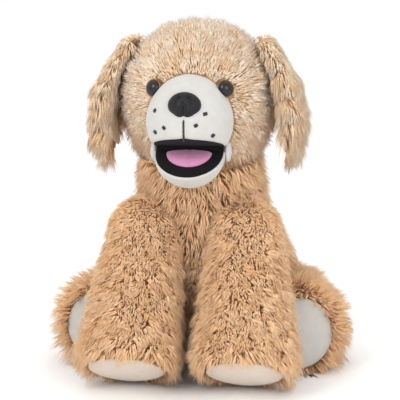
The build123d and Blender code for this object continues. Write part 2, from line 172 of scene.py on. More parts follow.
# short nap: a fine grain of fibre ends over soft brushed patches
def velour(name, finish, depth=0.00035, sheen=0.35):
    r = Recipe(name)
    fibres = r.noise(finish["nap"], 2.0, rough=0.7)
    brushed = r.noise(finish["brushed"], 3.0)
    pits = r.add("TexVoronoi", {}, {"Vector": r.place(), "Scale": finish["nap"] * 0.6}, "Distance")
    colour = r.blend(brushed * 0.7 + fibres * 0.3, finish["shade"], finish["pale"])
    return r.finish({"Base Color": colour, "Roughness": 0.85 + fibres * 0.12, "Sheen Weight": sheen,
                     "Sheen Roughness": 0.5, "Specular IOR Level": 0.2,
                     "Normal": r.bump(fibres * 0.6 + pits * 0.4, depth, 0.6, r.bump(brushed, 0.0009, 0.35))})


# moulded plastic: a faint grain, with handling marks in the colour and roughness
def moulded(name, colour, pale, roughness, grain=0.0, coat=0.0, gleam=0.5):
    r = Recipe(name)
    marks = r.noise(240.0, 4.0)
    skin = r.noise(1400.0, 2.0)
    return r.finish({"Base Color": r.blend(marks, colour, pale), "Roughness": roughness + marks * 0.12,
                     "Coat Weight": coat, "Coat Roughness": 0.06, "Specular IOR Level": gleam,
                     "Normal": r.bump(skin, grain + 0.00001, 0.5)})


# twisted thread: slanting plies
def thread(name, colour, pale):
    r = Recipe(name)
    plies = r.add("TexWave", {"wave_type": "BANDS", "bands_direction": "DIAGONAL"},
                  {"Vector": r.place(), "Scale": 420.0, "Distortion": 1.0, "Detail": 1.0})
    return r.finish({"Base Color": r.blend(plies * 0.8, colour, pale), "Roughness": 0.75 + plies * 0.1,
                     "Sheen Weight": 0.2, "Normal": r.bump(plies, 0.0003)})


# woven cloth or tape: two sets of bands crossing
def woven(name, colour, pale, threads, roughness=0.7, shine=0.2):
    r = Recipe(name)
    warp, weft = (r.add("TexWave", {"wave_type": "BANDS", "bands_direction": way},
                        {"Vector": r.place(), "Scale": threads, "Distortion": 0.4}) for way in "XZ")
    weave = warp * weft
    fuzz = r.noise(600.0, 3.0)
    return r.finish({"Base Color": r.blend(weave * 0.6 + fuzz * 0.4, colour, pale),
                     "Roughness": roughness + fuzz * 0.15, "Sheen Weight": shine,
                     "Normal": r.bump(weave + fuzz * 0.3, 0.0003)})


# felt: matted fibres over broader patches, half of the colour from each
def felt(name, colour, pale):
    r = Recipe(name)
    fibres = r.noise(900.0, 4.0, rough=0.75)
    patches = r.noise(120.0, 2.0)
    return r.finish({"Base Color": r.blend(fibres * 0.5 + patches * 0.5, colour, pale),
                     "Roughness": 0.9 + fibres * 0.08, "Sheen Weight": 0.4, "Specular IOR Level": 0.15,
                     "Normal": r.bump(fibres, 0.0005, 0.7)})


finishes = {
    "pile": pile("plushPile", pileFinish),
    # the head's roots are also deepened with painted crevice shade
    "headPile": pile("headPile", {**pileFinish, "root": rgb(248, 222, 190), "middle": rgb(248, 230, 206),
                                  "tip": rgb(246, 232, 214), "dark": rgb(238, 214, 184)}),
    "backing": backing("pileBacking", rgb(196, 148, 100), rgb(222, 178, 130)),
    "velour": velour("whiteVelour", velourFinish),
    "earVelour": velour("earVelour", {**velourFinish, "pale": rgb(228, 196, 164),
                                      "shade": rgb(208, 172, 136)}, depth=0.0005),
    "mouth": velour("mouthCloth", {**velourFinish, "pale": rgb(20, 20, 22), "shade": rgb(12, 12, 14)},
                    depth=0.0003, sheen=0.02),
    "soleVelour": velour("soleVelour", {**velourFinish, "pale": rgb(218, 204, 190),
                                        "shade": rgb(202, 188, 174)}),
    "tongue": felt("tongueFelt", rgb(188, 120, 158), rgb(206, 142, 178)),
    "nose": moulded("noseMoulding", rgb(20, 19, 21), rgb(32, 30, 33), 0.42, grain=0.00012, gleam=0.22),
    "eye": moulded("eyeGloss", rgb(8, 7, 8), rgb(16, 15, 16), 0.16, coat=0.1, gleam=0.4),
    "amber": moulded("eyeAmber", rgb(104, 66, 34), rgb(142, 94, 50), 0.22, coat=0.3),
    "blackThread": thread("blackThread", rgb(20, 19, 20), rgb(44, 42, 44)),
    "tanThread": thread("tanThread", rgb(190, 148, 104), rgb(222, 184, 140)),
    "satin": woven("labelSatin", rgb(222, 222, 218), rgb(244, 244, 242), 900.0, 0.35, 0.5),
    "pouch": woven("pouchCloth", rgb(214, 210, 198), rgb(236, 233, 224), 420.0),
    "webbing": woven("neckWebbing", rgb(176, 140, 98), rgb(205, 172, 130), 330.0),
    "board": moulded("hiddenBoard", rgb(112, 112, 112), rgb(134, 134, 134), 0.5, 0.0001),
    "washer": moulded("lockWasher", rgb(218, 218, 214), rgb(232, 232, 228), 0.45, 0.0001),
    "pin": moulded("nylonPin", rgb(200, 200, 196), rgb(218, 218, 214), 0.4, 0.00005),
}
print("finishes made", len(finishes))


def unit(v):  # a vector over its own length
    return v / np.maximum(np.linalg.norm(v, axis=-1, keepdims=True), 1e-9)


def dot(a, b):  # sum of the products along the last axis
    return np.sum(a * b, axis=-1)


# a mesh object of these triangles, in metres, with faces outwards (signed volume above nought)
def piece(name, points, triangles, finish, body, slot, uv=None):
    a, b, c = (points[triangles[:, i]] for i in range(3))
    if dot(np.cross(a, b), c).sum() < 0:
        triangles = triangles[:, ::-1]
        uv = None if uv is None else uv.reshape(-1, 3, 2)[:, ::-1].reshape(-1, 2)
    mesh = bpy.data.meshes.new(name)
    mesh.vertices.add(len(points))
    mesh.vertices.foreach_set("co", (points * mm).astype(np.float32).ravel())
    mesh.loops.add(triangles.size)
    mesh.loops.foreach_set("vertex_index", triangles.astype(np.int32).ravel())
    mesh.polygons.add(len(triangles))
    mesh.polygons.foreach_set("loop_start", np.arange(0, triangles.size, 3, dtype=np.int32))
    mesh.update(calc_edges=True)
    mesh.shade_smooth()
    if uv is not None:
        layer = mesh.uv_layers.new(name="OFBake")
        layer.data.foreach_set("uv", uv.astype(np.float32).ravel())
    mesh.materials.append(finishes[finish])
    thing = bpy.data.objects.new(name, mesh)
    bpy.context.scene.collection.objects.link(thing)
    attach(thing, body)
    return thing


# closed shell through a stack of rings (rings, around, 3): each ring joins the next, and the first and
# last are closed by a fan to their middle
def shell(rings):
    count, around = rings.shape[:2]
    points = np.concatenate([rings.reshape(-1, 3), rings[0].mean(0)[None], rings[-1].mean(0)[None]])
    row = np.arange(around)
    after = (row + 1) % around
    base = (np.arange(count - 1) * around)[:, None]
    a, b = base + row, base + after
    sides = np.concatenate([np.stack([a, b, b + around], -1).reshape(-1, 3),
                            np.stack([a, b + around, a + around], -1).reshape(-1, 3)])
    last = (count - 1) * around
    start, end = count * around, count * around + 1
    caps = np.concatenate([np.stack([after, row, np.full(around, start)], -1),
                           np.stack([last + row, last + after, np.full(around, end)], -1)])
    return points, np.concatenate([sides, caps])


# an axis made unit long, and two directions square to it
def square(axis):
    axis = unit(np.asarray(axis, float))
    side = unit(np.cross(axis, (0, 0, 1) if abs(axis[2]) < 0.9 else (1, 0, 0)))
    return axis, side, np.cross(axis, side)


gapSteps = 60       # enough for every ray to settle


# rings for a gap function: rays leave a line from start to end, square to it along its middle and swinging
# round to its axis over the first and last shares, and each ray's length is stepped until its gap is nought
def ringsFrom(gap, start, end, rings=90, around=120, capShare=0.3, reach=20.0):
    start, end = np.asarray(start, float), np.asarray(end, float)
    axis, side, up = square(end - start)
    v = (np.arange(rings) + 0.5) / rings
    along = np.clip((v - capShare) / (1 - 2 * capShare), 0, 1)
    swing = np.clip((v - 1 + capShare) / capShare, 0, 1) - np.clip((capShare - v) / capShare, 0, 1)
    swing = swing * math.pi / 2
    turn = np.linspace(0, 2 * math.pi, around, endpoint=False)
    spoke = np.cos(turn)[:, None] * side + np.sin(turn)[:, None] * up
    ray = np.cos(swing)[:, None, None] * spoke + np.sin(swing)[:, None, None] * axis
    origin = (start + along[:, None] * (end - start))[:, None, :]
    far = np.full(ray.shape[:2], reach)
    for _ in range(gapSteps):
        far = np.maximum(far - 0.8 * gap(origin + far[..., None] * ray), 0.5)
    return origin + far[..., None] * ray


# gap functions give the distance outside a shape, and are below nought inside it
def ballGap(p, centre, radius):  # the distance from the centre less the radius
    return np.linalg.norm(p - centre, axis=-1) - radius


# a ball carried from a to b, its radius changing evenly; uncapped, it goes on past b
def coneGap(p, a, b, startRadius, endRadius, capped=True):
    a, b = np.asarray(a, float), np.asarray(b, float)
    t = dot(p - a, b - a) / dot(b - a, b - a)
    t = np.clip(t, 0, 1 if capped else None)
    radius = startRadius + t * (endRadius - startRadius)
    return np.linalg.norm(p - (a + t[..., None] * (b - a)), axis=-1) - radius


def planeGap(p, origin, normal):  # below nought on the side the normal points away from
    return dot(p - origin, unit(np.asarray(normal, float)))


def joined(a, b, blendWidth):  # union of two gaps with a rounded valley
    h = np.clip(0.5 + 0.5 * (b - a) / blendWidth, 0, 1)
    return b * (1 - h) + a * h - blendWidth * h * (1 - h)


def cut(a, b, blendWidth):  # what is inside both, with a rounded edge
    return -joined(-a, -b, blendWidth)


def lumps(p, size, depth):  # gentle unevenness of a stuffed cover
    q = p / size
    return depth * np.sin(q[..., 0] + 1.3) * np.sin(q[..., 1] * 1.1 + 0.4) * np.sin(q[..., 2] * 0.9 + 2.1)


def corners(node):  # a CAD node's box in millimetres
    low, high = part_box(node)
    return np.array(low) / mm, np.array(high) / mm


def middle(node):
    low, high = corners(node)
    return (low + high) / 2


headHigh = corners("head_cover")[1]
headRadius = headHigh[0]
headCentre = np.array((0.0, headHigh[1] - headRadius, headHigh[2] - headRadius))
pin = middle("jaw_pin")
muzzleRadius = corners("muzzle_cover")[1][0]
muzzleCentre = pin + (0, -3.0, 26.0)
jawRadius = corners("jaw_cover")[1][0]
jawCentre = pin + (0, -6.0, -5.0)
lipTilt, floorTilt = math.radians(14.6), math.radians(38.0)     # the upper lip's slope and the lower one's
lipNormal = np.array((0, math.sin(lipTilt), math.cos(lipTilt)))
floorNormal = np.array((0, -math.sin(floorTilt), math.cos(floorTilt)))
rumpHigh = corners("torso_cover")[1]
rumpRadius = rumpHigh[0]
rump = np.array((0.0, rumpHigh[1] - rumpRadius, 84.0))
chest, collar = rump + (0, -28.0, 16.0), rump + (0, -66.0, 172.0)
chestRadius, collarRadius = 74.0, 56.0
sides = {"left": 1, "right": -1}
legSlope, hindTurn = math.radians(59.0), math.radians(15.0)
legAlong = np.array((0, -math.cos(legSlope), -math.sin(legSlope)))
frontLegSize = {"soft": 37.0, "paw": 50.0, "length": 151.3, "inset": 8.0}     # soft: the shoulder's radius
hindLegSize = {"radius": 45.0, "length": 104.0}
tailRoot, tailRise = rump + (0, 108.0, -14.0), math.radians(50.0)
tailAlong = np.array((0, math.cos(tailRise), math.sin(tailRise)))
tailSize = {"root": 18.0, "tip": 14.0, "length": 46.0}
underPile = 4.0      # the backing lies this far inside the cover's mid-pile surface


def frontSole(side):  # the middle of a front paw's sole
    return middle("front_leg_left_paw_pad") * (side, 1, 1)


def hindAlong(side):  # the way a hind leg points
    return np.array((side * math.sin(hindTurn), -math.cos(hindTurn), 0))


def hindSole(side):  # the middle of a hind foot's sole
    return middle("hind_leg_left_sole_pad") * (side, 1, 1)


def frontLegRoot(side):  # the soft shoulder's centre, drawn in towards the chest
    inset = np.array((side * frontLegSize["inset"], 0, 0))
    return frontSole(side) - legAlong * frontLegSize["length"] - inset


def frontLegGap(p, side, grow=0.0):  # a cone from the shoulder to the paw, cut square at its sole
    end, root = frontSole(side), frontLegRoot(side)
    cone = coneGap(p, root, end, frontLegSize["soft"] + grow, frontLegSize["paw"] + grow, False)
    return cut(cone, planeGap(p, end, legAlong) - grow, 14.0)


def hindLegGap(p, side, grow=0.0):  # a level tube, cut square at its sole
    end = hindSole(side)
    root = end - hindAlong(side) * hindLegSize["length"]
    tube = coneGap(p, root, end, hindLegSize["radius"] + grow, hindLegSize["radius"] + grow, False)
    return cut(tube, planeGap(p, end, hindAlong(side)) - grow, 16.0)


def bodyGap(p, grow=0.0):  # the rump's ball, and the chest narrowing to the collar
    return joined(ballGap(p, rump, rumpRadius + grow),
                  coneGap(p, chest, collar, chestRadius + grow, collarRadius + grow), 26.0)


def headGap(p, grow=0.0):  # the head's ball
    return ballGap(p, headCentre, headRadius + grow)


def muzzleGap(p, grow=0.0):  # the muzzle's ball
    q = p - muzzleCentre
    brow = 3.5 * np.clip(unit(q)[..., 2], 0, 1) ** 3        # the top of the muzzle is a little taller
    return np.linalg.norm(q, axis=-1) - muzzleRadius - grow - brow


def tailGap(p, grow=0.0):  # a cone with a round tip
    return coneGap(p, tailRoot, tailRoot + tailAlong * tailSize["length"], tailSize["root"] + grow,
                   tailSize["tip"] + grow)


# random points on a shell, even by area, with the outward direction there
def scatter(points, triangles, count, rng):
    a, b, c = (points[triangles[:, i]] for i in range(3))
    face = np.cross(b - a, c - a)
    if dot(np.cross(a, b), c).sum() < 0:
        face = -face
    corner = np.zeros_like(points)
    for i in range(3):
        np.add.at(corner, triangles[:, i], face)
    area = np.linalg.norm(face, axis=1)
    chosen = rng.choice(len(triangles), count, p=area / area.sum())
    s, t = rng.random(count), rng.random(count)
    s, t = np.where(s + t > 1, 1 - s, s), np.where(s + t > 1, 1 - t, t)
    weight = np.stack([1 - s - t, s, t], 1)[..., None]
    tri = triangles[chosen]
    return (points[tri] * weight).sum(1), unit((corner[tri] * weight).sum(1))


# the nearest of one jittered point per lattice cell, and three numbers of its own between nought and one
def lock(p, size, seed):
    cell = np.floor(p / size)
    best = np.full(len(p), np.inf)
    centre, traits = np.zeros_like(p), np.zeros_like(p)
    for step in itertools.product((-1, 0, 1), repeat=3):
        near = cell + step
        key = dot(near, np.array((12.9898, 78.233, 37.719))) + seed
        own = np.stack([np.modf(np.abs(np.sin(key * k) * 43758.5453))[0] for k in (1.0, 1.7, 2.3)], 1)
        spot = (near + own) * size
        away = np.linalg.norm(p - spot, axis=1)
        closer = away < best
        best = np.where(closer, away, best)
        centre[closer], traits[closer] = spot[closer], np.modf(own[closer] * 7.31)[0]
    return centre, traits


strandForm = {"spare": 2.2, "rootDepth": 1.5, "bentWidth": 0.85, "flatness": 0.7, "toneShift": 0.003}


# tapered three-sided strands: each leaves the backing near upright, bends over along the comb direction,
# and its tip is drawn sideways towards the middle of its lock
def strands(name, surface, look, comb, keep, finish, body):
    rng = np.random.default_rng((look["seed"], look["draw"]))
    p, n = scatter(*surface, int(look["count"] * strandForm["spare"]), rng)
    kept = keep(p, n)
    p, n = p[kept][:look["count"]], n[kept][:look["count"]]
    count = len(p)
    centre, traits = lock(p, look["lock"], look["seed"])
    flow = comb(p, n)
    swirl = np.cross(n, flow)
    flow = unit(flow + swirl * ((traits[:, :1] - 0.5) * 2 * look["swirl"] + rng.normal(0, 0.16, (count, 1))))
    flow = unit(flow - n * dot(flow, n)[:, None])
    reach = look["length"] * (0.72 + 0.56 * traits[:, 1:2]) * rng.uniform(0.75, 1.15, (count, 1))
    if "trim" in look:
        reach = reach * look["trim"](p)[:, None]
    lowLean, highLean = (np.radians(angle + rng.normal(0, 7, (count, 1))) for angle in look["lean"])
    pull = centre - p
    pull = (pull - n * dot(pull, n)[:, None]) * look["pull"]
    root = p - n * strandForm["rootDepth"]
    bend = p + (n * np.cos(lowLean) + flow * np.sin(lowLean)) * reach * 0.5 + pull * 0.4
    tip = bend + (n * np.cos(highLean) + flow * np.sin(highLean)) * reach * 0.55 + pull * 0.6
    tip[:, 2] -= reach[:, 0] * look["droop"]
    line = unit(tip - root)
    across = unit(np.cross(line, n) + 1e-6)
    over = np.cross(across, line)
    thick = look["width"] / 2 * rng.uniform(0.7, 1.25, (count, 1))
    rows = []
    for centre, share in ((root, 1.0), (bend, strandForm["bentWidth"])):
        for turn in (0, 2 * math.pi / 3, 4 * math.pi / 3):
            corner = math.cos(turn) * across + strandForm["flatness"] * math.sin(turn) * over
            rows.append(centre + thick * share * corner)
    points = np.clip(np.stack(rows + [tip], 1), furLow, furHigh)
    faces = np.array([(0, 2, 1), (0, 1, 4), (0, 4, 3), (1, 2, 5), (1, 5, 4), (2, 0, 3), (2, 3, 5), (3, 4, 6),
                      (4, 5, 6), (5, 3, 6)])                        # root 0 to 2, bend 3 to 5, tip 6
    triangles = (np.arange(count)[:, None, None] * 7 + faces).reshape(-1, 3)
    tone = 0.5 + (traits[:, 2] - 0.5) * 0.7 + rng.normal(0, 0.13, count)
    if "shade" in look:
        tone = tone + look["shade"](p)
    tone = np.clip(tone, 0.02, 0.98)
    shift = np.array((-1, 0, 1, -1, 0, 1, 0)) * strandForm["toneShift"]
    along = np.broadcast_to((0.02, 0.02, 0.02, 0.5, 0.5, 0.5, 0.98), (count, 7))
    uv = np.stack([tone[:, None] + shift, along], -1).reshape(-1, 2)[triangles.ravel()]
    flip = dot(np.cross(points[:, 1] - points[:, 0], points[:, 4] - points[:, 0]),
               points[:, 0] - points[:, :3].mean(1)) < 0
    triangles = triangles.reshape(count, -1, 3)
    triangles[flip] = triangles[flip][..., ::-1]
    uv = uv.reshape(count, -1, 3, 2)
    uv[flip] = uv[flip][:, :, ::-1]
    piece(name, points.reshape(-1, 3), triangles.reshape(-1, 3), finish, body, "pile", uv.reshape(-1, 2))


strandsPerPiece = 18000


# the pile of one part, in as many pieces as keep each under the limit; the pieces share their locks
def coat(name, surface, look, comb, keep, finish, body):
    shares = math.ceil(look["count"] / strandsPerPiece)
    for index in range(shares):
        share = {**look, "count": look["count"] // shares, "draw": index}
        strands(name if shares == 1 else f"{name}_{index + 1}", surface, share, comb, keep, finish, body)
    print("pile", name, look["count"])


headLook = {
    "count": 36000, "length": 15.0, "width": 1.27, "lock": 8.0, "pull": 0.2, "swirl": 0.3, "lean": (28, 60),
    "seed": 11, "droop": 0.06,
}


# comb: away from the muzzle and backwards, falling a little down the cheeks
def headComb(p, n):
    away = unit(p - muzzleCentre)
    fall = np.clip((headCentre[2] + 20 - p[:, 2]) / 60, 0, 1)[:, None]
    way = away + np.array((0, 0.5, 0)) - fall * np.array((0, 0, 0.9))
    return unit(way - n * dot(way, n)[:, None])


eyeAcross, eyeAbove = 35.0, 14.0


def eyeLine(side):  # an eye's seat on the head's ball, and the way it looks
    ahead = math.sqrt(headRadius ** 2 - eyeAcross ** 2 - eyeAbove ** 2)
    line = unit(np.array((side * eyeAcross, -ahead, eyeAbove)))
    return headCentre + line * headRadius, line


def clearOfEyes(p, room):  # true where a point is further than this from both eyes' lines
    clear = np.full(len(p), True)
    for side in sides.values():
        eye, line = eyeLine(side)
        offset = p - eye
        off = np.linalg.norm(offset - dot(offset, line)[:, None] * line, axis=1)
        clear &= (off > room) | (p[:, 1] > headCentre[1])
    return clear


# the head: its ball with gentle lumps, and pile that leaves the face and eyes free
def makeHead():
    rings = ringsFrom(lambda p: headGap(p, -underPile) + lumps(p, 21.0, 0.8), headCentre - (0, 0, 1),
                      headCentre + (0, 0, 1), capShare=0.49, reach=headRadius)
    surface = shell(rings)
    skin = piece("head_skin", *surface, "backing", "head", "pile")
    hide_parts("head_cover", "head_stuffing")

    def keep(p, n):
        return ((muzzleGap(p) > -0.5) & (ballGap(p, jawCentre, jawRadius) > 0) & (bodyGap(p) > -6)
                & clearOfEyes(p, 9.6))

    def trim(p):  # shorter round the face, longer behind and where it hangs over the neck
        face = np.clip(muzzleGap(p) / 45, 0, 1)
        eyeClose = np.minimum(*(np.linalg.norm(p - eyeLine(s)[0], axis=1) for s in (1, -1)))
        hanging = 0.6 * np.clip((headCentre[2] - 15 - p[:, 2]) / 40, 0, 1) * face
        return (0.55 + 0.5 * face) * np.clip(eyeClose / 22, 0.5, 1) + hanging

    def shade(p):  # paler on the crown and face, golden behind and below
        behind = np.clip((p[:, 1] - headCentre[1]) / 60, 0, 1)
        below = np.clip((headCentre[2] - 10 - p[:, 2]) / 50, 0, 1)
        return 0.12 - 0.45 * np.maximum(behind, below)
    look = {**headLook, "trim": trim, "shade": shade}
    coat("head_pile", surface, look, headComb, keep, "headPile", "head")


bodyLook = {
    "count": 27000, "length": 15.0, "width": 1.55, "lock": 8.5, "pull": 0.1, "swirl": 0.9, "lean": (14, 44),
    "seed": 23, "droop": 0.14,
}


# comb: down the body, spreading from the middle line
def bodyComb(p, n):
    way = np.stack([p[:, 0] / 160, np.full(len(p), 0.0), np.full(len(p), -1.0)], 1)
    way[:, 1] = np.where(p[:, 2] < 60, 0.4 * np.sign(p[:, 1] - rump[1]), 0)
    return unit(way - n * dot(way, n)[:, None])


# the body: rump and chest joined, hollowed where the head and legs are sewn on
def makeTorso():
    def gap(p):
        trunk = np.maximum(bodyGap(p, -underPile) + lumps(p, 26.0, 1.5), 1.5 - p[..., 2])
        trunk = np.maximum(trunk, 1.0 - headGap(p, 3.2))
        for side in sides.values():
            trunk = cut(trunk, 1.5 - frontLegGap(p, side), 4.0)
            trunk = cut(trunk, 1.5 - hindLegGap(p, side), 4.0)
        return trunk
    rings = ringsFrom(gap, rump + (0, -2, -30), collar + (0, 14, -40), 116, 124, capShare=0.3, reach=110.0)
    surface = shell(rings)
    skin = piece("torso_skin", *surface, "backing", "torso", "pile")
    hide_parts("torso_cover", "torso_stuffing")

    def keep(p, n):
        keepers = (headGap(p) > 4) & ((p[:, 2] > 3) | (n[:, 2] > -0.3))
        for side in sides.values():
            keepers &= (frontLegGap(p, side) > 3) & (hindLegGap(p, side) > 3)
        return keepers

    def shade(p):  # a little paler towards the neck
        return 0.3 * np.clip((p[:, 2] - 190) / 70, 0, 1)
    coat("torso_pile", surface, {**bodyLook, "shade": shade}, bodyComb, keep, "pile", "torso")


legLook = {
    "count": 26500, "length": 13.5, "width": 1.55, "lock": 8.0, "pull": 0.1, "swirl": 0.9, "lean": (13, 42),
    "seed": 37, "droop": 0.14,
}


# a front leg: its cone with gentle lumps, pile combed down it, and a domed sole
def makeFrontLeg(word, side):
    end, root = frontSole(side), frontLegRoot(side)
    body = f"front_leg_{word}"
    rings = ringsFrom(lambda p: frontLegGap(p, side, -underPile) + lumps(p, 19.0, 1.2), root,
                      end - legAlong * 40, 90, 92, reach=60.0)
    surface = shell(rings)
    skin = piece(f"{body}_skin", *surface, "backing", body, "pile")
    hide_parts(f"{body}_cover", f"{body}_stuffing")

    def comb(p, n):
        way = legAlong + np.array((side * 0.25, -0.1, 0)) * np.ones((len(p), 1))
        return unit(way - n * dot(way, n)[:, None])

    def keep(p, n):
        pad = (planeGap(p, end, legAlong) > -underPile - 3) & (dot(n, legAlong) > 0.75)
        return (bodyGap(p) > -3) & ~pad & (headGap(p) > 0)

    def trim(p):  # shorter at the shoulder than at the paw
        return np.clip(0.7 + 0.4 * dot(p - root, legAlong) / frontLegSize["length"], 0.7, 1.1)
    look = {**legLook, "seed": legLook["seed"] + side, "trim": trim}
    coat(f"{body}_pile", surface, look, comb, keep, "pile", body)
    makePad(f"{body}_pad", end, legAlong, padSize["front"], body, f"{body}_paw_pad", "soleVelour")


# a hind leg: its tube with gentle lumps, kept off the floor, long pile and a domed sole
def makeHindLeg(word, side):
    end, along = hindSole(side), hindAlong(side)
    root = end - along * hindLegSize["length"]
    body = f"hind_leg_{word}"

    def gap(p):
        return np.maximum(hindLegGap(p, side, -underPile) + lumps(p, 19.0, 1.2), 1.0 - p[..., 2])
    rings = ringsFrom(gap, root, end - along * 36, 80, 90, reach=60.0)
    surface = shell(rings)
    skin = piece(f"{body}_skin", *surface, "backing", body, "pile")
    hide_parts(f"{body}_cover", f"{body}_stuffing")

    def comb(p, n):
        return unit(along - n * dot(along, n)[:, None])

    def keep(p, n):
        pad = (planeGap(p, end, along) > -underPile - 3) & (dot(n, along) > 0.75)
        return (bodyGap(p) > -3) & ~pad & ((p[:, 2] > 3) | (n[:, 2] > -0.3))
    look = {**legLook, "count": 12000, "seed": legLook["seed"] + 10 + side, "length": 25.0, "lean": (8, 30)}
    coat(f"{body}_pile", surface, look, comb, keep, "pile", body)
    makePad(f"{body}_pad", end, along, padSize["hind"], body, f"{body}_sole_pad", "velour")


padSize = {"front": {"radius": 38.5, "dome": 6.5, "sink": 6.0},
           "hind": {"radius": 38.5, "dome": 5.5, "sink": 6.0}}


# a sole: a disc domed like a flat ellipse, tucked in at its seam, carried round the leg's axis
def makePad(name, centre, along, size, body, node, finish):
    axis, across, up = square(along)
    share = np.linspace(0.04, 1, 26)
    height = size["dome"] * (1 - share ** 2.6) ** 0.75
    reach = np.concatenate([share, [0.985, 0.9, 0.5, 0.08]]) * size["radius"]
    height = np.concatenate([height - 1.2, [-2.2, -size["sink"], -size["sink"], -size["sink"]]])
    turn = np.linspace(0, 2 * math.pi, 96, endpoint=False)
    wobble = 1 + 0.012 * np.sin(3 * turn + 1) + 0.008 * np.sin(5 * turn)
    flat = np.cos(turn)[:, None] * across + np.sin(turn)[:, None] * up
    rings = centre + reach[:, None, None] * (wobble[:, None] * flat) + height[:, None, None] * axis
    rings[..., 2] = np.maximum(rings[..., 2], floorGap)
    pad = piece(name, *shell(rings), finish, body, "velour")
    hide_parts(node)


def makeTail():  # a stub that curls up from the rump
    tipEnd = tailRoot + tailAlong * tailSize["length"]
    surface = shell(ringsFrom(lambda p: tailGap(p, -underPile), tailRoot, tipEnd, 60, 60, reach=20.0))
    skin = piece("tail_skin", *surface, "backing", "tail", "pile")
    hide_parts("tail_cover", "tail_stuffing")

    def comb(p, n):
        return unit(tailAlong - n * dot(n, tailAlong)[:, None] + 1e-6)
    look = {**bodyLook, "count": 4000, "seed": 71, "length": 14.0, "lean": (36, 62), "swirl": 0.4}
    coat("tail_pile", surface, look, comb, lambda p, n: bodyGap(p) > -3, "pile", "tail")


# the muzzle: a ball with a taller brow, cut off along the lip's plane
def makeMuzzle():
    def gap(p):
        notch = 0.9 * np.exp(-(p[..., 0] / 5) ** 2)         # the lip rises to a soft point at its middle
        return cut(muzzleGap(p), 0.8 + notch - dot(p - pin, lipNormal), 2.5)
    rings = ringsFrom(gap, muzzleCentre + (-1, 0, 4), muzzleCentre + (1, 0, 4), 110, 130, capShare=0.49,
                      reach=muzzleRadius)
    muzzle = piece("muzzle_velour", *shell(rings), "velour", "head", "velour")
    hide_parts("muzzle_cover", "muzzle_stuffing")


# a mouth lining: a sheet on the lip's plane, cut to the ball round it, hollowed a little, with a rolled edge
def makeLining(name, node, centre, radius, axis, offset, hollow, body):
    across, thick = np.array((1.0, 0, 0)), 2.4
    ahead = np.cross(axis, across)
    height = dot(centre - (pin + axis * offset), axis)
    disc = centre - axis * height
    wide = math.sqrt(radius ** 2 - height ** 2)
    share = np.linspace(0.03, 1, 30)
    drop = hollow * (1 - share ** 2)
    reach = np.concatenate([share, [0.995, 0.9, 0.4, 0.03]]) * wide
    rise = np.concatenate([-drop, [-1.0, -thick, -thick - hollow, -thick - hollow]])
    turn = np.linspace(0, 2 * math.pi, 120, endpoint=False)
    flat = np.cos(turn)[:, None] * across + np.sin(turn)[:, None] * ahead
    rings = disc + reach[:, None, None] * flat + rise[:, None, None] * axis
    backEdge = pin[1] - 1.4 if body == "jaw" else pin[1] + 9
    rings[..., 1] = np.minimum(rings[..., 1], backEdge)
    lining = piece(name, *shell(rings), "mouth", body, "mouth_cloth")
    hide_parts(node)


# the cloth that rolls over the hinge at the back of the mouth: a tube along the pin, gathered every few
# millimetres
def makeHingeCloth():
    radius, half = 5.6, 33.0
    x = np.linspace(-half, half, 90)
    turn = np.linspace(0, 2 * math.pi, 48, endpoint=False)
    fold = radius * (1 - 0.10 * np.abs(np.sin(x / 5.5)))[:, None] * np.ones(48)
    rings = np.stack([np.broadcast_to(x[:, None], fold.shape), fold * np.cos(turn), fold * np.sin(turn)], -1)
    piece("hinge_cloth", *shell(pin + rings), "mouth", "head", "mouth_cloth")


# the jaw: a ball cut off along the floor of the mouth and at the hinge
def makeJaw():
    def gap(p):
        ball = ballGap(p, jawCentre, jawRadius)
        top = dot(p - pin, floorNormal) + 1.2
        return cut(cut(ball, top, 2.0), p[..., 1] - (pin[1] - 1.4), 2.0)
    start = jawCentre + (0, -10, -12)
    rings = ringsFrom(gap, start - (1, 0, 0), start + (1, 0, 0), 90, 110, capShare=0.49, reach=jawRadius)
    jaw = piece("jaw_velour", *shell(rings), "velour", "jaw", "velour")
    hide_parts("jaw_cover", "jaw_stuffing")


tongueLook = {"start": 9.0, "length": 21.5, "half": 23.0, "thick": 4.5}


# tongue: half an ellipse lying on the floor of the mouth, rounded over its edge, a groove down its middle
def makeTongue():
    ahead = np.cross((1.0, 0, 0), floorNormal)
    share = np.linspace(0.03, 1, 24)
    turn = np.linspace(0, 2 * math.pi, 90, endpoint=False)
    x = np.cos(turn) * tongueLook["half"]
    y = np.where(np.sin(turn) > 0, np.sin(turn) * tongueLook["length"] * 0.93, np.sin(turn) * 4.0)
    lift = tongueLook["thick"] * (1 - share ** 3) ** 0.5
    reach = np.concatenate([share, [0.96, 0.5, 0.03]])
    top = np.concatenate([lift, [-0.9, -0.9, -0.9]])
    thin = 0.5 + 0.5 * np.clip(reach[:, None] * y / 12, 0, 1)         # thinner towards the hinge
    across = reach[:, None] * x
    groove = 1.1 * np.exp(-(across / 1.6) ** 2) * (top[:, None] > 0.5)
    height = (top[:, None] - groove) * thin
    rings = (pin + floorNormal * 0.2 + (reach[:, None] * y + tongueLook["start"])[..., None] * ahead
             + across[..., None] * np.array((1.0, 0, 0)) + height[..., None] * floorNormal)
    tongue = piece("tongue_felt", *shell(rings), "tongue", "jaw", "tongue_felt")
    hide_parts("tongue")


noseLook = {
    "half": 16.5, "high": 13.2, "out": 8.5, "pitch": math.radians(27.5), "sink": 3.0,
    # a nostril's dents: across, above, width and depth
    "nostril": ((5.0, 4.8, 1.7, 2.6), (7.2, 2.0, 1.2, 1.7), (8.0, -1.6, 1.0, 1.4), (7.4, -5.0, 0.9, 1.0)),
}


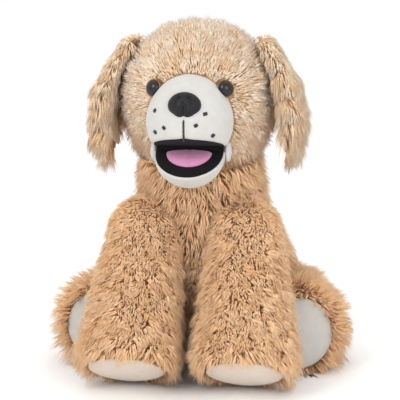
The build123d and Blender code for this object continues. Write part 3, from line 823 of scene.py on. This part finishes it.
# nose: an ellipse with two lobes below, domed, with two comma nostrils and a cleft pressed into it
def makeNose():
    axis = np.array((0, -math.cos(noseLook["pitch"]), math.sin(noseLook["pitch"])))
    up = np.array((0, math.sin(noseLook["pitch"]), math.cos(noseLook["pitch"])))
    share = np.linspace(0.012, 1, 64)
    turn = np.linspace(0, 2 * math.pi, 180, endpoint=False)
    below = np.clip(-np.sin(turn), 0, 1)
    outline = 1 - 0.10 * below * np.exp(-(np.cos(turn) / 0.14) ** 2) - 0.07 * np.exp(
        -((np.abs(np.cos(turn)) - 0.72) / 0.2) ** 2) * below
    x = share[:, None] * np.cos(turn) * outline * noseLook["half"]
    z = share[:, None] * np.sin(turn) * outline * noseLook["high"]
    rise = noseLook["out"] * (1 - share[:, None] ** 3.2) ** 0.55 * np.ones_like(x)
    for side in (1, -1):
        for spotX, spotZ, wide, deep in noseLook["nostril"]:
            rise -= deep * np.exp(-((x - side * spotX) ** 2 + ((z - spotZ) / 1.5) ** 2) / wide ** 2)
        lean = np.abs(x - side * (0.4 + np.clip(-z - 1, 0, 9) * 0.42))
        rise -= 0.9 * np.exp(-(lean / 0.8) ** 2) * np.clip(0.5 - z / 4, 0, 1)
    rise -= 1.3 * np.exp(-(x / 0.8) ** 2) * np.clip(-z / 5, 0, 1)
    rise = np.maximum(rise, 0.2)
    sphere = muzzleRadius - np.sqrt(np.maximum(muzzleRadius ** 2 - x ** 2 - z ** 2, 1))
    front = np.stack([x, z, rise - sphere * 0.8], -1)
    back = np.stack([x[::-8], z[::-8], -noseLook["sink"] - sphere[::-8]], -1)
    local = np.concatenate([front, back])
    centre = muzzleCentre + axis * muzzleRadius
    rings = centre + local[..., :1] * np.array((1.0, 0, 0)) + local[..., 1:2] * up + local[..., 2:] * axis
    nose = piece("nose_moulding", *shell(rings), "nose", "head", "nose_plastic")
    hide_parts("nose")


# a profile of (radius, height) pairs carried round an axis
def turned(centre, axis, profile, around=72):
    axis, across, up = square(axis)
    profile = np.asarray(profile, float)
    turn = np.linspace(0, 2 * math.pi, around, endpoint=False)
    flat = np.cos(turn)[:, None] * across + np.sin(turn)[:, None] * up
    return shell(centre + profile[:, 0, None, None] * flat + profile[:, 1, None, None] * axis)


eyeLook = {"dome": 8.0, "high": 6.2, "rim": 9.0, "proud": 2.4}


# an eye: half an ellipse turned round its shank, in a ring with a rolled edge
def makeEye(word, side):
    line = eyeLine(side)[1]
    seat = headCentre + line * (headRadius + eyeLook["proud"])
    angle = np.linspace(0.03, math.pi / 2, 24)
    dome = [(eyeLook["dome"] * math.sin(a), eyeLook["high"] * math.cos(a)) for a in angle]
    shank = [(eyeLook["dome"], -3.0), (3.0, -6.0), (2.5, -14.0), (0.2, -14.0)]
    ball = piece(f"eye_dome_{word}", *turned(seat, line, dome + shank), "eye", "head", "eye_black")
    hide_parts(f"eye_{word}")
    inside, outside = eyeLook["dome"] - 0.5, eyeLook["rim"]
    roll = [(outside - 0.6 + 0.6 * math.sin(a), 1.0 + 0.6 * math.cos(a)) for a in np.linspace(-1.2, 1.57, 9)]
    rim = [(0.2, 0.2), (inside, 0.4), (inside + 0.2, 1.2)] + roll + [(outside, -4.0), (0.2, -4.0)]
    ring = piece(f"eye_ring_{word}", *turned(seat, line, rim), "amber", "head", "eye_amber")
    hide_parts(f"eye_rim_{word}")


# a run of thread: a round cord through its points, swelling between its ends as a pulled stitch does
def stitch(points, thick):
    points = np.asarray(points, float)
    line = unit(np.gradient(points, axis=0))
    side = unit(np.cross(line, (0.31, 0.2, 0.93)))
    up = np.cross(line, side)
    share = np.linspace(0, 1, len(points))
    width = thick * np.clip(np.sin(math.pi * (0.06 + 0.88 * share)), 0, 1) ** 0.4
    turn = np.linspace(0, 2 * math.pi, 10, endpoint=False)
    return shell(points[:, None] + width[:, None, None] * (np.cos(turn)[:, None] * side[:, None]
                                                           + np.sin(turn)[:, None] * up[:, None]))


def gathered(parts):  # several shells as one mesh
    points, triangles, start = [], [], 0
    for p, t in parts:
        points.append(p)
        triangles.append(t + start)
        start += len(p)
    return np.concatenate(points), np.concatenate(triangles)


# the point of the muzzle's surface at this distance across and above its centre
def onMuzzle(across, above, lift=0.0):
    ahead = np.sqrt(np.maximum(muzzleRadius ** 2 - across ** 2 - above ** 2, 1))
    q = np.stack([across, -ahead, above], -1)
    rise = lift + 3.5 * np.clip(above / muzzleRadius, 0, 1) ** 3
    return muzzleCentre + q * (1 + rise / muzzleRadius)[..., None]


# across and above the muzzle's centre, and how far each knot slants
whiskers = [(20.5, 11.0, 0.3), (12.0, 0.0, 0.5), (27.5, -10.5, 0.9), (-30.5, 13.0, 1.0), (-20.0, -3.0, -0.9),
            (-30.0, -8.0, -0.9)]


# each whisker knot is three short stitches side by side; the lip's line is a double run of long ones
def makeStitches():
    parts = []
    for across, above, slant in whiskers:
        for shift in (-0.9, 0.0, 0.9):
            t = np.linspace(-1, 1, 9)
            x = across + 2.0 * t * math.cos(slant) - shift * math.sin(slant)
            z = above + 2.0 * t * math.sin(slant) + shift * math.cos(slant)
            parts.append(stitch(onMuzzle(x, z, 0.1), 0.95))
    knots = piece("whisker_stitches", *gathered(parts), "blackThread", "head", "black_thread")
    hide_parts("whisker_knots")
    lip = []
    edges = np.linspace(5.0, -14.5, 6)
    for a, b in zip(edges[:-1], edges[1:]):
        z = np.linspace(a + 0.5, b - 0.5, 10)
        lip.append(stitch(onMuzzle(np.full(10, 0.25), z, 0.25), 0.85))
        lip.append(stitch(onMuzzle(np.full(10, -0.35), z - 1.2, 0.2), 0.7))
    seam = piece("philtrum_stitches", *gathered(lip), "blackThread", "head", "black_thread")
    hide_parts("lip_stitch")


# cheek gusset: a soft velour fold that joins the lips behind each corner of the mouth
def makeCheek(word, side):
    centre = pin + (side * 37.4, 6.0, -5.0)
    half = np.array((4.0, 9.5, 10.0))

    def gap(p):
        return (np.linalg.norm((p - centre) / half, axis=-1) - 1) * half.min()
    up = np.array((0, 0, 1.0))
    rings = ringsFrom(gap, centre - up, centre + up, 60, 70, capShare=0.49, reach=12.0)
    cheek = piece(f"cheek_gusset_{word}", *shell(rings), "velour", "head", "velour")


earLook = {
    "count": 9500, "length": 17.0, "width": 1.4, "lock": 11.0, "pull": 0.45, "swirl": 0.55, "lean": (30, 60),
    "seed": 53, "droop": 0.3, "hang": math.radians(18.0), "long": 118.0, "half": 36.0, "thick": 4.2,
    "rootAcross": 60.06, "rootHeight": 350.0, "belly": 11.0, "flare": 5.0,
}


def earFrame(side):  # an ear's root, and the ways out from the head and down the flap
    hang = earLook["hang"]
    out = np.array((side * math.cos(hang), 0, math.sin(hang)))
    down = np.array((side * math.sin(hang), 0, -math.cos(hang)))
    root = np.array((side * earLook["rootAcross"], headCentre[1], earLook["rootHeight"]))
    return root, out, down


# the flap's half width at a share of its length: swells from the root and closes in an arc at the tip
def earWidth(v, half):
    swell = 0.68 + 0.32 * np.sin(np.clip(v / 0.55, 0, 1) * math.pi / 2)
    return half * swell * np.sqrt(np.clip(1 - np.clip((v - 0.55) / 0.45, 0, 1) ** 2.4, 0.003, 1))


# a curved leaf: an ellipse across, carried down the flap, cupped along its length and about its middle line
def leaf(side, half, length, thick, offset, start=0.0, rings=90, around=80):
    root, out, down = earFrame(side)
    v = np.linspace(start, 1, rings)
    turn = np.linspace(0, 2 * math.pi, around, endpoint=False)
    wide = earWidth(v, half)[:, None] * np.cos(turn)
    edge = np.sqrt(np.clip(1 - np.abs(np.cos(turn)) ** 4, 0, 1)) * np.sign(np.sin(turn))
    endFade = np.sqrt(np.clip(1 - np.abs(2 * (v - start) / (1 - start) - 1) ** 14, 0.02, 1))
    belly = earLook["belly"] * np.sin(np.pi * v)[:, None] - earLook["belly"] * v[:, None] ** 3
    flare = earLook["flare"] * v[:, None] ** 2 * (wide / half) ** 2
    height = thick * edge * endFade[:, None] + offset + belly + flare
    return (root + (v * length)[:, None, None] * down + wide[..., None] * np.array((0, -1.0, 0))
            + height[..., None] * out)


# an ear: a leaf of backing with pile on its outer face, and a smaller velour leaf inside it
def makeEar(word, side):
    root, out, down = earFrame(side)
    body = f"ear_{word}"
    surface = shell(leaf(side, earLook["half"], earLook["long"], earLook["thick"], 6.5))
    flap = piece(f"{body}_flap", *surface, "backing", body, "pile")
    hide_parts(f"{body}_cover")
    inner = shell(leaf(side, earLook["half"] - 6, earLook["long"] - 7, 1.6, 2.2, 0.08))
    lining = piece(f"{body}_velour", *inner, "earVelour", body, "velour")
    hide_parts(f"{body}_lining")

    def comb(p, n):
        edge = np.stack([np.zeros(len(p)), (p[:, 1] - root[1]) / 60, np.zeros(len(p))], 1)
        way = down + edge
        return unit(way - n * dot(way, n)[:, None] + 1e-6)

    def keep(p, n):
        inner = (dot(n, out) < -0.35) & (np.abs(p[:, 1] - root[1]) < 0.66 * earLook["half"])
        return ~inner & (headGap(p) > 1)

    def trim(p):  # short at the root, long and shaggy at the tip
        return 0.6 + 0.55 * np.clip(dot(p - root, down) / earLook["long"], 0, 1)
    look = {**earLook, "seed": earLook["seed"] + side, "trim": trim}
    coat(f"{body}_pile", surface, look, comb, keep, "headPile", body)


# blank care label: a ribbon folded over on itself, its two plies a little apart at the fold
def makeLabel():
    low, high = corners("care_label")
    centre = (low + high) / 2
    line = unit(np.array((centre[0], centre[1] - rump[1], 0)))
    across = np.array((0, 0, 1.0))
    over = np.cross(line, across)
    length, wide = 21.0, high[2] - low[2]
    root = centre - line * 12.0
    turn = np.linspace(0, 2 * math.pi, 60, endpoint=False)
    share = 0.5 - 0.5 * np.cos(turn)
    outer = np.stack([length * share, 1.2 * np.sin(turn) * share ** 0.8 + 0.45 * np.sign(np.sin(turn))], -1)
    rows = np.linspace(-0.5, 0.5, 24)
    rings = (root + outer[None, :, :1] * line + outer[None, :, 1:] * over
             + (rows * wide)[:, None, None] * across
             + (1.2 * np.sin(rows * 5) * 0.5)[:, None, None] * over * (outer[None, :, :1] / length))
    label = piece("label_ribbon", *shell(rings), "satin", "torso", "label")
    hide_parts("care_label")


# pellet pouch: a pillow whose faces swell between pinched edges
def makePouch():
    low, high = corners("pellet_pouch")
    centre, half = (low + high) / 2, (high - low) / 2
    v = np.linspace(-0.985, 0.985, 50)
    turn = np.linspace(0, 2 * math.pi, 80, endpoint=False)
    box = np.maximum(np.abs(np.cos(turn)), np.abs(np.sin(turn)))
    x = np.cos(turn) / box
    wide = (1 - np.abs(v) ** 6) ** 0.35
    swell = np.sqrt(np.clip(1 - v ** 2, 0, 1))[:, None] * np.sqrt(np.clip(1.02 - x ** 2, 0, 1))
    z = np.sign(np.sin(turn)) * (swell * 0.95 + 0.03)
    y = np.broadcast_to(v[:, None], z.shape)
    rings = np.stack([x * wide[:, None] * half[0], y * half[1], z * half[2]], -1)
    pouch = piece("pouch_pillow", *shell(centre + rings), "pouch", "torso", "pouch")
    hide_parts("pellet_pouch")


# CAD pieces whose shape is right keep it and get their finish
def finishFrameNodes():
    kept = {"board": ["mouth_roof_board", "mouth_floor_board"],
            "washer": ["nose_washer", "eye_washer_left", "eye_washer_right"],
            "pin": ["jaw_pin"], "webbing": ["neck_band"], "tanThread": ["back_stitches"]}
    for finish, nodes in kept.items():
        for node in nodes:
            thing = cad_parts[node]
            for slot in thing.material_slots:
                slot.material = finishes[finish]


makeTorso()
makeHead()
for word, side in sides.items():
    makeFrontLeg(word, side)
    makeHindLeg(word, side)
    makeEar(word, side)
    makeEye(word, side)
    makeCheek(word, side)
makeTail()
makeMuzzle()
makeLining("roof_cloth", "mouth_roof_lining", muzzleCentre, muzzleRadius - 1.2, -lipNormal, -0.2, 0.0, "head")
makeHingeCloth()
makeJaw()
makeLining("floor_cloth", "mouth_floor_lining", jawCentre, jawRadius - 1.6, floorNormal, -0.5, 1.0, "jaw")
makeTongue()
makeNose()
makeStitches()
makeLabel()
makePouch()
finishFrameNodes()


studio = {"floor": rgb(252, 252, 252), "half": 120.0, "world": 1.04, "key": 12.0, "fill": 9.0, "top": 1.5}


def makeFloor():  # a flat sheet, far larger than the dog
    half = studio["half"]
    mesh = bpy.data.meshes.new("floor")
    outline = [(-half, -half, 0), (half, -half, 0), (half, half, 0), (-half, half, 0)]
    mesh.from_pydata(outline, [], [(0, 1, 2, 3)])
    recipe = Recipe("paleFloor")
    grain = recipe.noise(30.0, 2.0)
    colour = recipe.blend(grain, studio["floor"], rgb(250, 250, 250))
    mesh.materials.append(recipe.finish({"Base Color": colour, "Roughness": 0.7 + grain * 0.1}))
    floor = bpy.data.objects.new("floor", mesh)
    bpy.context.scene.collection.objects.link(floor)


# a round area light at this place, turned to face the aim
def lamp(name, place, aim, size, power):
    light = bpy.data.lights.new(name, "AREA")
    light.shape, light.size, light.energy = "DISK", size, power
    thing = bpy.data.objects.new(name, light)
    thing.location = place
    thing.rotation_euler = (Vector(aim) - Vector(place)).to_track_quat("-Z", "Y").to_euler()
    bpy.context.scene.collection.objects.link(thing)


cameraLook = {"distance": 1.5, "azimuth": math.radians(7.8), "elevation": math.radians(8.6), "focal": 126.7,
              "aim": (0.0, -0.028, 0.182)}


# the camera stands off the aim at this distance, turn and rise, and looks back at it
def makeCamera():
    lens = bpy.data.cameras.new("camera")
    lens.lens, lens.sensor_width = cameraLook["focal"], 36.0
    camera = bpy.data.objects.new("camera", lens)
    turn, rise = cameraLook["azimuth"], cameraLook["elevation"]
    away = Vector((math.sin(turn) * math.cos(rise), -math.cos(turn) * math.cos(rise), math.sin(rise)))
    camera.location = Vector(cameraLook["aim"]) + away * cameraLook["distance"]
    camera.rotation_euler = away.to_track_quat("Z", "Y").to_euler()
    bpy.context.scene.collection.objects.link(camera)
    bpy.context.scene.camera = camera


makeFloor()
aim = (0.0, -0.03, 0.18)
lamp("key", (-0.7, -1.5, 1.25), aim, 1.0, studio["key"])
lamp("fill", (1.1, -1.45, 0.8), aim, 1.2, studio["fill"])
lamp("top", (0.0, 0.3, 1.6), aim, 1.4, studio["top"])
makeCamera()
world = bpy.data.worlds.new("studio")
world.use_nodes = True
world.node_tree.nodes["Background"].inputs["Color"].default_value = (1, 1, 1, 1)
world.node_tree.nodes["Background"].inputs["Strength"].default_value = studio["world"]
bpy.context.scene.world = world
bpy.context.scene.view_settings.view_transform = "Standard"
print("stage set")
